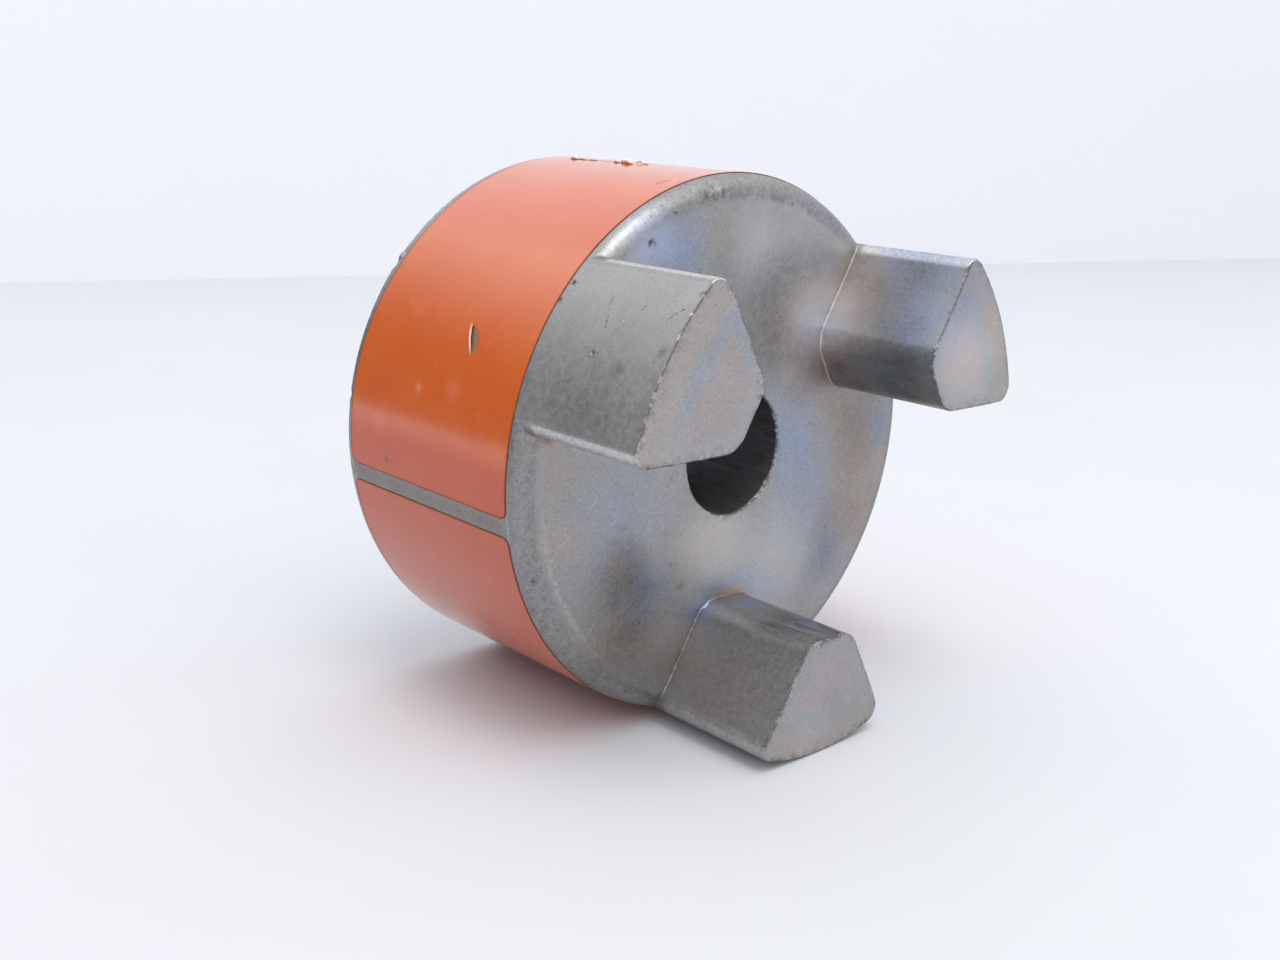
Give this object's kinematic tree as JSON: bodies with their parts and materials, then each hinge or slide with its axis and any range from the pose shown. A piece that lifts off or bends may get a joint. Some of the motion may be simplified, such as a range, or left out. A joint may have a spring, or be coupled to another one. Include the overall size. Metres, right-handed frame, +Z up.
{
  "type": "jaw coupling hub",
  "caption": "Three-jaw shaft coupling hub of sintered iron with a keyed bore, a set screw and a glossy orange wrap around its rim.",
  "frame": {"origin": "on the bore axis, half-way along the overall length", "axes": "+Y along the bore axis, from the jaw ends towards the rear face; +Z up, with one jaw hanging straight down; +X to the right when the jaws are seen from the front"},
  "size_m": [0.0846, 0.0652, 0.0846],
  "materials": {
    "sintered_iron": "bare pressed and sintered surface with faint blue and straw heat tints",
    "orange_vinyl": "glossy printed film",
    "black_oxide_steel": "black oxide, lightly oiled"
  },
  "bodies": {
    "hub": {"hub": "sintered_iron", "label_wrap": "orange_vinyl"},
    "set_screw": {"set_screw": "black_oxide_steel"}
  },
  "joints": [
    {"name": "set_screw_travel", "type": "slide", "parent": "hub", "child": "set_screw", "axis": [-0.9026, 0, 0.4305], "range_m": [-0.0033, 0.0158]}
  ]
}
